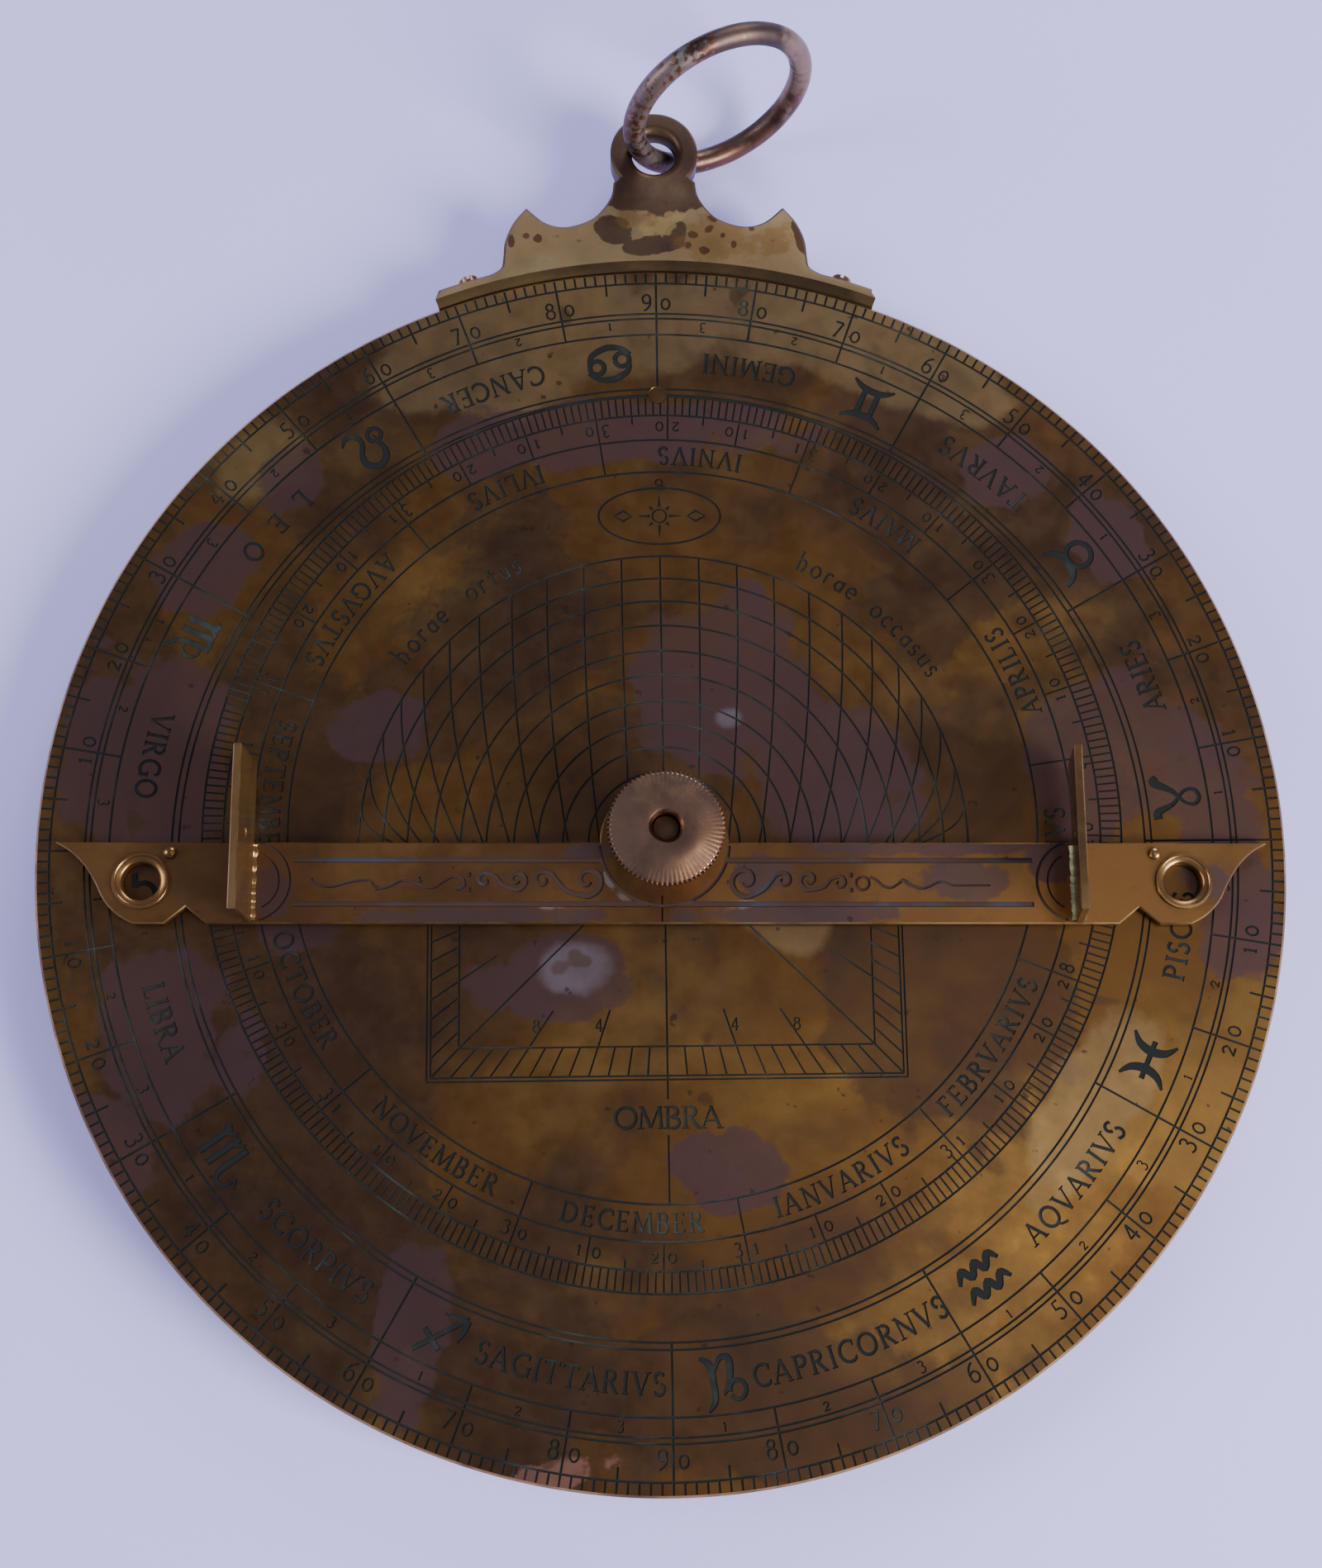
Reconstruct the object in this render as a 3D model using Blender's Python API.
"""Planispheric astrolabe lying on its front, with its engraved back facing up.

Metres, +Z up. The origin is the centre of the front pivot head's flat face, which rests on the
table, and +Z is the pivot axis. +Y points at the throne and its suspension ring. The constants
are in millimetres, and mm() turns them into metres.
"""

from math import acos, asin, atan2, cos, pi, radians, sin

import bmesh
import bpy
from mathutils import Matrix, Vector

SIDES = (("left", -1), ("right", 1))

# Levels above the table, from the front (down) to the back (up).
HEAD_TOP = 2.4
WASHER = (2.7, 3.5)
RULE = (3.8, 5.1)
LIMB = (5.4, 9.4)
RETE = (5.5, 6.5)
FRONT_TYMPAN = (6.8, 7.8)
BACK_TYMPAN = (8.1, 9.1)
FACE = 11.2
PLATE_THICKNESS = 1.5
GAP = 0.3

# The disc.
DISC_RADIUS = 100.0
RIM_CHAMFER = 0.4
WOMB_RADIUS = 81.0
TYMPAN_RADIUS = 80.5
STOP_PIN_RADIUS = 1.45
STOP_PIN_AT = 77.3
ROUND_SIDES = 96

# The pivot and its knurled nut.
BOLT_RADIUS = 2.12
RUNNING_BORE = 2.2
FIXED_BORE = 2.45
BOLT_HEAD_RADIUS = 8.0
BOLT_END = 23.7
NUT_RADIUS = 9.25
NUT_BOSS_RADIUS = 6.0
NUT_BOTTOM = FACE + 2.4
NUT_FLANGE_BOTTOM = FACE + 11.4
NUT_EDGE_TOP = FACE + 13.4
NUT_TOP = FACE + 14.0
NUT_KNURLS = 44
NUT_KNURL_DEPTH = 0.3

# The alidade: its sighting edge passes through the pivot axis.
ALIDADE_TURN = radians(-0.6)
BAR_BOTTOM = FACE + GAP
BAR_TOP = FACE + 2.1
BAR_HALF_LENGTH = 96.6
BAR_WIDTH = 13.1
HUB_RADIUS = 10.3
END_CURVE = (
    (96.6, 0.0),
    (94.0, -1.5),
    (91.7, -3.7),
    (89.9, -6.4),
    (88.3, -9.4),
    (86.1, -11.7),
    (83.6, -13.1),
)
NOTCH_AT = 75.4
NOTCH_HALF_WIDTH = 3.3
NOTCH_DEPTH = 2.7
EYELET_AT = (82.6, -6.3)
EYELET_RADIUS = 4.5
EYELET_BARREL = 3.6
EYELET_HOLE = 3.0
RIVET_AT = (78.2, -1.75)
RIVET_RADIUS = 1.05
RIVET_SHANK = 0.7
VANE_AT = (-65.6, 65.7)
VANE_LEAN = (radians(3.0), radians(7.0))
VANE_TOP = FACE + 14.4
VANE_THICKNESS = 1.3
VANE_HALF_WIDTH = 13.0
VANE_SOLDER_GAP = 0.12
SIGHT_HOLE_RADIUS = 0.6
SIGHT_HOLE_UP = 6.8

# The throne and its screws, seen from above; x is measured from the centre line.
THRONE_TOP = FACE + 0.4
THRONE_BOTTOM = FACE - 4.4
EYE_CENTRE = (0.0, 122.2)
EYE_RADIUS = 7.5
EYE_HOLE = 3.75
EYE_HOLE_ROUNDING = 1.4
NECK_TO_CUSP = ((7.0, 116.6), (7.6, 113.6), (10.4, 110.0), (14.9, 108.3), (18.7, 109.0), (22.0, 111.8))
CUSP_TO_WING = ((22.0, 111.8), (24.2, 109.0), (25.6, 105.6), (25.9, 102.6), (26.3, 100.6), (28.1, 99.4))
WING_RADIUS = 103.3
WING_END = 36.8
THRONE_SEAT_RADIUS = 100.3
SEAT_BEVEL = 1.5
SCREW_ANGLE = radians(17.8)
SCREW_LEVEL = 8.35
SCREW_SHANK = 0.85
SCREW_HOLE = 1.0
SCREW_HEAD = (1.65, 1.6)
SCREW_DEPTH = 7.5

# The suspension ring: the wire runs down through the eye's hole, and the ring stands on the table.
RING_CENTRE = (10.9, 128.6, FACE + 6.23)
RING_NORMAL = (0.383, -0.915, 0.125)
RING_RADIUS = 15.55
WIRE_RADIUS = 1.95

# The rete: a stereographic star map seen through, between the tropics.
RETE_RADIUS = 80.0
CAPRICORN = 73.5
OBLIQUITY = radians(23.44)
ECLIPTIC_WIDTH = 5.0
RETE_BAR = 4.0
RETE_HUB = 9.0
STAR_POINTERS = (
    # ring the pointer grows from, angle there in degrees, length, lean in degrees
    ("band", 25, 17, 20),
    ("band", 62, 12, -25),
    ("band", 118, 12, 25),
    ("band", 155, 17, -20),
    ("band", 215, 25, 28),
    ("band", 247, 22, -18),
    ("band", 293, 22, 18),
    ("band", 325, 25, -28),
    ("ecliptic", 30, 20, 25),
    ("ecliptic", 68, 17, -25),
    ("ecliptic", 112, 17, 25),
    ("ecliptic", 150, 20, -25),
    ("ecliptic", 212, 13, 30),
    ("ecliptic", 328, 13, -30),
)
RULE_TURN = radians(64.0)
RULE_HALF_LENGTH = 98.0
RULE_TIP = 9.0
RULE_WIDTH = 5.5
RULE_HUB = 9.5


def mm(value):
    return value / 1000.0


def clear_scene():
    for item in list(bpy.data.objects):
        bpy.data.objects.remove(item, do_unlink=True)


def make_material(name, colour, roughness):
    made = bpy.data.materials.new(name)
    made.use_nodes = True
    shader = made.node_tree.nodes["Principled BSDF"]
    shader.inputs["Base Color"].default_value = (*colour, 1.0)
    shader.inputs["Roughness"].default_value = roughness
    shader.inputs["Metallic"].default_value = 1.0
    return made


# Outlines: lists of (x, y) in millimetres.


def arc(centre, radius, start, end, steps):
    """Points on an arc, from start to end in radians, both included."""
    turns = [start + (end - start) * i / steps for i in range(steps + 1)]
    return [(centre[0] + radius * cos(t), centre[1] + radius * sin(t)) for t in turns]


def circle(radius, centre=(0.0, 0.0), sides=ROUND_SIDES):
    return arc(centre, radius, 0.0, 2 * pi, sides)[:-1]


def between(a, b, c, d, t):
    """One coordinate of a Catmull-Rom curve, a share t of the way from b to c."""
    linear = (c - a) / 2
    square = a - 2.5 * b + 2 * c - d / 2
    cube = 1.5 * (b - c) + (d - a) / 2
    return b + linear * t + square * t**2 + cube * t**3


def smooth(points, steps=3):
    """A Catmull-Rom curve through the points."""
    padded = [points[0], *points, points[-1]]
    found = []
    for a, b, c, d in zip(padded, padded[1:], padded[2:], padded[3:]):
        for i in range(steps):
            found.append(tuple(between(*values, i / steps) for values in zip(a, b, c, d)))
    return found + [points[-1]]


def mirrored(points):
    """The points with x turned over, in the opposite order, so that an outline stays one loop."""
    return [(-x, y) for x, y in reversed(points)]


# Solids.


def finish_object(item, material, turn=0.0):
    bpy.context.scene.collection.objects.link(item)
    item.data.materials.append(material)
    item.rotation_euler.z = turn
    return item


def sheet_metal(name, loops, levels, material, turn=0.0, chamfer=0.0):
    """A flat piece: the first loop is its outline and the others are its holes."""
    curve = bpy.data.curves.new(name, "CURVE")
    curve.dimensions = "2D"
    curve.fill_mode = "BOTH"
    curve.extrude = mm((levels[1] - levels[0]) / 2 - chamfer)
    curve.bevel_depth = mm(chamfer)
    curve.bevel_resolution = 0
    curve.offset = -mm(chamfer)
    for loop in loops:
        spline = curve.splines.new("POLY")
        spline.points.add(len(loop) - 1)
        for point, (x, y) in zip(spline.points, loop):
            point.co = (mm(x), mm(y), 0.0, 1.0)
        spline.use_cyclic_u = True
    item = finish_object(bpy.data.objects.new(name, curve), material, turn)
    item.location.z = mm((levels[0] + levels[1]) / 2)
    return item


def turned(name, profile, material, sides=48, knurled=()):
    """A solid of revolution about Z from a closed (radius, z) profile that runs up its outer side.

    A point on the axis has radius 0. Points listed in knurled lose the knurl's depth on every
    other side.
    """
    mesh = bmesh.new()
    rings = []
    for index, (radius, z) in enumerate(profile):
        if radius == 0.0:
            rings.append([mesh.verts.new((0.0, 0.0, mm(z)))] * sides)
            continue
        ring = []
        for i in range(sides):
            r = radius - (NUT_KNURL_DEPTH if index in knurled and i % 2 else 0.0)
            turn = 2 * pi * i / sides
            ring.append(mesh.verts.new((mm(r * cos(turn)), mm(r * sin(turn)), mm(z))))
        rings.append(ring)
    for lower, upper in zip(rings, rings[1:] + rings[:1]):
        for i in range(sides):
            j = (i + 1) % sides
            corners = list(dict.fromkeys((lower[i], lower[j], upper[j], upper[i])))
            if len(corners) > 2:
                mesh.faces.new(corners)
    bmesh.ops.recalc_face_normals(mesh, faces=mesh.faces)
    data = bpy.data.meshes.new(name)
    mesh.to_mesh(data)
    mesh.free()
    data.shade_smooth()
    data.set_sharp_from_angle(angle=radians(35))
    return finish_object(bpy.data.objects.new(name, data), material)


def cut(item, cutter, name="cut"):
    """Takes the cutter out of the item and keeps the cutter as a hidden guide."""
    cutter.hide_render = True
    cutter.display_type = "WIRE"
    modifier = item.modifiers.new(name, "BOOLEAN")
    modifier.operation = "DIFFERENCE"
    modifier.solver = "EXACT"
    modifier.object = cutter


def join(item, other):
    """Adds the other shape to the item and keeps it as a hidden guide."""
    other.hide_render = True
    other.display_type = "WIRE"
    modifier = item.modifiers.new("join", "BOOLEAN")
    modifier.operation = "UNION"
    modifier.solver = "EXACT"
    modifier.object = other


def as_mesh(item):
    """The curve object replaced by the mesh that it draws, so that a Boolean can use it."""
    graph = bpy.context.evaluated_depsgraph_get()
    data = bpy.data.meshes.new_from_object(item.evaluated_get(graph))
    mesh = bmesh.new()
    mesh.from_mesh(data)
    bmesh.ops.remove_doubles(mesh, verts=mesh.verts, dist=1e-6)
    bmesh.ops.recalc_face_normals(mesh, faces=mesh.faces)
    mesh.to_mesh(data)
    mesh.free()
    name = item.name
    place = item.matrix_basis.copy()
    material = item.data.materials[0]
    bpy.data.objects.remove(item, do_unlink=True)
    data.materials.clear()
    data.materials.append(material)
    made = bpy.data.objects.new(name, data)
    bpy.context.scene.collection.objects.link(made)
    made.matrix_basis = place
    return made


# The disc and what its womb holds.


def make_disc(brass):
    centre_hole = circle(FIXED_BORE, sides=48)
    pin_hole = circle(STOP_PIN_RADIUS + 0.1, (0.0, STOP_PIN_AT), 24)
    plate_levels = (FACE - PLATE_THICKNESS, FACE)
    plate_loops = [circle(DISC_RADIUS), centre_hole, pin_hole]
    sheet_metal("back_plate", plate_loops, plate_levels, brass, chamfer=RIM_CHAMFER)
    limb = as_mesh(sheet_metal("limb_ring", [circle(DISC_RADIUS), circle(WOMB_RADIUS)], LIMB, brass))
    for word, side in SIDES:
        cut(limb, screw_hole(word, side, brass))
    pin = [(0, FRONT_TYMPAN[0]), (STOP_PIN_RADIUS, FRONT_TYMPAN[0]), (STOP_PIN_RADIUS, FACE), (0, FACE)]
    turned("tympan_stop_pin", pin, brass, 24).location.y = mm(STOP_PIN_AT)


def make_tympans(brass):
    """Each latitude plate has a notch in its edge, which the stop pin holds."""
    half = STOP_PIN_RADIUS + GAP
    notch_end = asin(half / TYMPAN_RADIUS)
    rim = arc((0, 0), TYMPAN_RADIUS, pi / 2 + notch_end, pi / 2 - notch_end + 2 * pi, ROUND_SIDES)
    floor_of_notch = arc((0, STOP_PIN_AT), half, 0.0, -pi, 10)
    outline = rim + floor_of_notch
    for name, levels in (("tympan_back", BACK_TYMPAN), ("tympan_front", FRONT_TYMPAN)):
        sheet_metal(name, [outline, circle(FIXED_BORE, sides=48)], levels, brass)


def pointer_outline(root, towards, length, width):
    """A flame-shaped star pointer that leans to one side and ends in a sharp tip."""
    along = Vector((cos(towards), sin(towards)))
    across = Vector((-along.y, along.x))
    shape = ((-0.12, -0.5), (0.35, -0.42), (0.7, 0.02), (1.0, 0.32), (0.62, 0.42), (0.3, 0.5), (-0.12, 0.5))
    return [tuple(Vector(root) + along * (length * a) + across * (width * b)) for a, b in shape]


def make_rete(brass):
    equator = CAPRICORN * (1 - sin(OBLIQUITY)) / cos(OBLIQUITY)
    cancer = equator * (1 - sin(OBLIQUITY)) / cos(OBLIQUITY)
    ecliptic_radius = (CAPRICORN + 1.5 + cancer) / 2
    ecliptic_centre = (0.0, (CAPRICORN + 1.5 - cancer) / 2)
    bottom, top = RETE
    inset = (bottom + 0.08, top - 0.08)
    deeper = (bottom + 0.16, top - 0.16)
    band = as_mesh(sheet_metal("rete", [circle(RETE_RADIUS), circle(CAPRICORN)], RETE, brass))
    ecliptic_inner = circle(ecliptic_radius - ECLIPTIC_WIDTH, ecliptic_centre, 96)
    added = [("ecliptic", [circle(ecliptic_radius, ecliptic_centre, 96), ecliptic_inner], inset)]
    reach = CAPRICORN + 2
    half = RETE_BAR / 2
    added.append(("meridian_bar", [[(-half, -reach), (half, -reach), (half, reach), (-half, reach)]], deeper))
    added.append(("horizon_bar", [[(-reach, -half), (reach, -half), (reach, half), (-reach, half)]], inset))
    equator_arc = arc((0, 0), equator + 1.5, pi * 1.08, pi * 1.92, 40)
    equator_arc += arc((0, 0), equator - 1.5, pi * 1.92, pi * 1.08, 40)
    added.append(("equator_arc", [equator_arc], deeper))
    added.append(("hub", [circle(RETE_HUB, sides=48)], (bottom + 0.04, top - 0.04)))
    for index, (ring, angle, length, lean) in enumerate(STAR_POINTERS):
        if ring == "band":
            centre, radius = (0.0, 0.0), CAPRICORN
        else:
            centre, radius = ecliptic_centre, ecliptic_radius - ECLIPTIC_WIDTH
        turn = radians(angle)
        root = (centre[0] + radius * cos(turn), centre[1] + radius * sin(turn))
        outline = pointer_outline(root, turn + pi + radians(lean), length, 5.0)
        level = (bottom + 0.22 + 0.01 * index, top - 0.22 - 0.01 * index)
        added.append((f"star_pointer_{index}", [outline], level))
    for name, loops, levels in added:
        join(band, as_mesh(sheet_metal(name, loops, levels, brass)))
    bore = [(0, bottom - 1), (RUNNING_BORE, bottom - 1), (RUNNING_BORE, top + 1), (0, top + 1)]
    cut(band, turned("rete_bore", bore, brass))


def make_rule(brass):
    """The front rule: two arms on opposite sides of its reading edge, so that it balances."""
    hub = arc((0, 0), RULE_HUB, asin(RULE_WIDTH / RULE_HUB), pi, 18)
    arm = [(RULE_HALF_LENGTH, 0.0), (RULE_HALF_LENGTH - RULE_TIP, RULE_WIDTH), *hub]
    outline = arm + [(-x, -y) for x, y in arm]
    sheet_metal("front_rule", [outline, circle(RUNNING_BORE, sides=48)], RULE, brass, RULE_TURN)


def make_pivot(brass, copper):
    head = BOLT_HEAD_RADIUS
    profile = [
        (0, 0),
        (head - 0.6, 0),
        (head, 0.6),
        (head, HEAD_TOP),
        (BOLT_RADIUS, HEAD_TOP),
        (BOLT_RADIUS, BOLT_END - 0.4),
        (BOLT_RADIUS - 0.4, BOLT_END),
        (0, BOLT_END),
    ]
    turned("pivot_bolt", profile, brass)
    washer = [(FIXED_BORE, WASHER[0]), (6.5, WASHER[0]), (6.5, WASHER[1]), (FIXED_BORE, WASHER[1])]
    turned("front_washer", washer, brass)
    nut = [
        (RUNNING_BORE, NUT_BOTTOM),
        (NUT_BOSS_RADIUS - 0.4, NUT_BOTTOM),
        (NUT_BOSS_RADIUS, NUT_BOTTOM + 0.4),
        (NUT_BOSS_RADIUS, NUT_FLANGE_BOTTOM - 0.6),
        (NUT_BOSS_RADIUS + 0.6, NUT_FLANGE_BOTTOM),
        (NUT_RADIUS, NUT_FLANGE_BOTTOM + 0.2),
        (NUT_RADIUS, NUT_EDGE_TOP),
        (RUNNING_BORE + 0.35, NUT_TOP),
        (RUNNING_BORE, NUT_TOP - 0.4),
    ]
    turned("knurled_nut", nut, copper, 2 * NUT_KNURLS, knurled=(5, 6))


# The alidade.


def bar_outline():
    """The sighting edge with the hub's bulge, an ogee at each end, and the lower edge's two notches."""
    right_end = smooth(END_CURVE)
    notch = [
        (NOTCH_AT + NOTCH_HALF_WIDTH, -BAR_WIDTH),
        (NOTCH_AT, NOTCH_DEPTH - BAR_WIDTH),
        (NOTCH_AT - NOTCH_HALF_WIDTH, -BAR_WIDTH),
    ]
    hub = arc((0, 0), HUB_RADIUS, 0.0, pi / 2, 16)
    right = hub[::-1] + right_end + notch
    return right + mirrored(right)[:-1]


def make_alidade(brass):
    holes = [circle(RUNNING_BORE, sides=48)]
    for _, side in SIDES:
        holes.append(circle(EYELET_BARREL + 0.15, (side * EYELET_AT[0], EYELET_AT[1]), 32))
        holes.append(circle(RIVET_SHANK + 0.12, (side * RIVET_AT[0], RIVET_AT[1]), 16))
    levels = (BAR_BOTTOM, BAR_TOP)
    sheet_metal("alidade_bar", [bar_outline(), *holes], levels, brass, ALIDADE_TURN)
    eyelet = [
        (EYELET_HOLE, BAR_BOTTOM + 0.1),
        (EYELET_BARREL, BAR_BOTTOM + 0.1),
        (EYELET_BARREL, BAR_TOP + 0.1),
        (EYELET_RADIUS, BAR_TOP + 0.1),
        (EYELET_RADIUS, BAR_TOP + 0.35),
        (EYELET_RADIUS - 0.3, BAR_TOP + 0.5),
        (EYELET_HOLE + 0.5, BAR_TOP + 0.3),
        (EYELET_HOLE, BAR_TOP - 0.1),
    ]
    rivet = [(0, BAR_BOTTOM + 0.1), (RIVET_SHANK, BAR_BOTTOM + 0.1), (RIVET_SHANK, BAR_TOP + 0.1)]
    rivet += [(RIVET_RADIUS * cos(t), BAR_TOP + 0.1 + 0.75 * sin(t)) for t in (0, pi / 6, pi / 3)]
    rivet.append((0, BAR_TOP + 0.85))
    for word, side in SIDES:
        tube = turned(f"alidade_eyelet_{word}", eyelet, brass, 28)
        place_on_bar(tube, side * EYELET_AT[0], EYELET_AT[1])
        pin = turned(f"alidade_rivet_{word}", rivet, brass, 14)
        place_on_bar(pin, side * RIVET_AT[0], RIVET_AT[1])


def place_on_bar(item, x, y):
    """Moves an upright piece from the pivot axis to (x, y) on the turned bar."""
    item.matrix_basis = Matrix.Rotation(ALIDADE_TURN, 4, "Z") @ Matrix.Translation((mm(x), mm(y), 0.0))


def make_vanes(brass):
    """Plain plates that stand across the bar, each with a sight hole; both tops lean towards -X."""
    height = VANE_TOP - BAR_TOP - VANE_SOLDER_GAP
    half = VANE_HALF_WIDTH
    outline = [(-half, 0.0), (half, 0.0), (half, height), (-half, height)]
    sight_hole = circle(SIGHT_HOLE_RADIUS, (0.0, SIGHT_HOLE_UP), 16)
    stand_up = Matrix.Rotation(pi / 2, 4, "Z") @ Matrix.Rotation(pi / 2, 4, "X")
    for word, x, lean in zip(("left", "right"), VANE_AT, VANE_LEAN):
        thick = (-VANE_THICKNESS / 2, VANE_THICKNESS / 2)
        vane = sheet_metal(f"sight_vane_{word}", [outline, sight_hole], thick, brass)
        lift = VANE_SOLDER_GAP + VANE_THICKNESS / 2 * abs(sin(lean))
        foot = Matrix.Translation((mm(x), 0.0, mm(BAR_TOP + lift)))
        tilt = Matrix.Rotation(-lean, 4, "Y")
        vane.matrix_basis = Matrix.Rotation(ALIDADE_TURN, 4, "Z") @ foot @ tilt @ stand_up


# The throne and its ring.


def throne_outline():
    neck = smooth(NECK_TO_CUSP)
    shoulder = smooth(CUSP_TO_WING)
    eye_meets_neck = asin(-0.62)
    eye = arc(EYE_CENTRE, EYE_RADIUS, pi / 2, eye_meets_neck, 12)
    shoulder_end = CUSP_TO_WING[-1]
    wing_start = atan2(shoulder_end[1], shoulder_end[0]) - radians(1.0)
    wing_finish = acos(WING_END / WING_RADIUS)
    wing = arc((0, 0), WING_RADIUS, wing_start, wing_finish, 8)
    seat = arc((0, 0), THRONE_SEAT_RADIUS, acos(WING_END / THRONE_SEAT_RADIUS), pi / 2, 24)
    right = eye + neck + shoulder[1:] + wing + seat
    return right + mirrored(right)[1:-1]


def radial(item, side, level):
    """Stands an item made along +Z on the disc's rim, pointing outwards at a throne screw."""
    turn = Matrix.Rotation(-side * SCREW_ANGLE, 4, "Z")
    out = Matrix.Rotation(-pi / 2, 4, "X")
    item.matrix_basis = Matrix.Translation((0.0, 0.0, mm(level))) @ turn @ out
    return item


def screw_hole(word, side, brass):
    """The radial hole that a throne screw takes through the wing and into the limb ring."""
    start = THRONE_SEAT_RADIUS - SCREW_DEPTH - 0.5
    profile = [(0, start), (SCREW_HOLE, start), (SCREW_HOLE, WING_RADIUS + 2), (0, WING_RADIUS + 2)]
    return radial(turned(f"screw_hole_{word}", profile, brass, 20), side, SCREW_LEVEL)


def seat_bevel_cutter(brass):
    """A cone that takes the corner off the throne's top face along its seat on the rim."""
    low = THRONE_TOP - 0.75
    profile = [
        (0, low),
        (THRONE_SEAT_RADIUS, low),
        (THRONE_SEAT_RADIUS + SEAT_BEVEL * 1.2, THRONE_TOP + 0.15),
        (0, THRONE_TOP + 0.15),
    ]
    return turned("seat_bevel", profile, brass, 180)


def eye_hole_cutter(brass):
    """The hole that the ring passes through, with both its edges rounded."""
    rounding = EYE_HOLE_ROUNDING
    profile = [(0, THRONE_BOTTOM - 0.5), (EYE_HOLE + rounding, THRONE_BOTTOM - 0.5)]
    lower = []
    for turn in (0, pi / 6, pi / 3, pi / 2):
        lower.append((EYE_HOLE + rounding * (1 - sin(turn)), THRONE_BOTTOM + rounding * (1 - cos(turn))))
    profile += lower
    profile += [(radius, THRONE_TOP + THRONE_BOTTOM - z) for radius, z in reversed(lower)]
    profile += [(EYE_HOLE + rounding, THRONE_TOP + 0.5), (0, THRONE_TOP + 0.5)]
    cutter = turned("eye_hole", profile, brass, 28)
    cutter.location = (mm(EYE_CENTRE[0]), mm(EYE_CENTRE[1]), 0.0)
    return cutter


def make_throne(brass):
    throne = as_mesh(sheet_metal("throne", [throne_outline()], (THRONE_BOTTOM, THRONE_TOP), brass))
    cut(throne, eye_hole_cutter(brass), "eye")
    cut(throne, seat_bevel_cutter(brass), "bevel")
    for word, _ in SIDES:
        cut(throne, bpy.data.objects[f"screw_hole_{word}"])


def make_throne_screws(brass):
    head_radius, head_height = SCREW_HEAD
    inner = THRONE_SEAT_RADIUS - SCREW_DEPTH
    seat = WING_RADIUS + 0.1
    profile = [
        (0, inner),
        (SCREW_SHANK, inner),
        (SCREW_SHANK, seat),
        (head_radius, seat),
        (head_radius, seat + head_height - 0.25),
        (head_radius - 0.25, seat + head_height),
        (0, seat + head_height),
    ]
    for word, side in SIDES:
        screw = radial(turned(f"throne_screw_{word}", profile, brass, 28), side, SCREW_LEVEL)
        slot = bmesh.new()
        bmesh.ops.create_cube(slot, size=1.0)
        data = bpy.data.meshes.new(f"slot_{word}")
        bmesh.ops.scale(slot, vec=(mm(0.55), mm(8.0), mm(1.4)), verts=slot.verts)
        bmesh.ops.translate(slot, vec=(0.0, 0.0, mm(seat + head_height)), verts=slot.verts)
        slot.to_mesh(data)
        slot.free()
        cutter = bpy.data.objects.new(data.name, data)
        bpy.context.scene.collection.objects.link(cutter)
        cut(screw, radial(cutter, side, SCREW_LEVEL), "slot")


def make_ring(copper):
    sides, around = 44, 10
    mesh = bmesh.new()
    rings = []
    for i in range(sides):
        turn = 2 * pi * i / sides
        ring = []
        for j in range(around):
            wind = 2 * pi * j / around
            out = RING_RADIUS + WIRE_RADIUS * cos(wind)
            up = WIRE_RADIUS * sin(wind)
            ring.append(mesh.verts.new((mm(out * cos(turn)), mm(out * sin(turn)), mm(up))))
        rings.append(ring)
    for a, b in zip(rings, rings[1:] + rings[:1]):
        for j in range(around):
            k = (j + 1) % around
            mesh.faces.new((a[j], b[j], b[k], a[k]))
    bmesh.ops.recalc_face_normals(mesh, faces=mesh.faces)
    data = bpy.data.meshes.new("suspension_ring")
    mesh.to_mesh(data)
    mesh.free()
    data.shade_smooth()
    ring = finish_object(bpy.data.objects.new("suspension_ring", data), copper)
    ring.rotation_euler = Vector(RING_NORMAL).to_track_quat("Z", "Y").to_euler()
    ring.location = [mm(value) for value in RING_CENTRE]


def main():
    clear_scene()
    brass = make_material("brass", (0.34, 0.22, 0.10), 0.4)
    polished = make_material("polished_brass", (0.62, 0.40, 0.19), 0.3)
    copper = make_material("copper", (0.55, 0.30, 0.18), 0.35)
    make_disc(brass)
    make_tympans(brass)
    make_rete(polished)
    make_rule(polished)
    make_pivot(polished, copper)
    make_alidade(polished)
    make_vanes(polished)
    make_throne(brass)
    make_throne_screws(brass)
    make_ring(copper)


main()
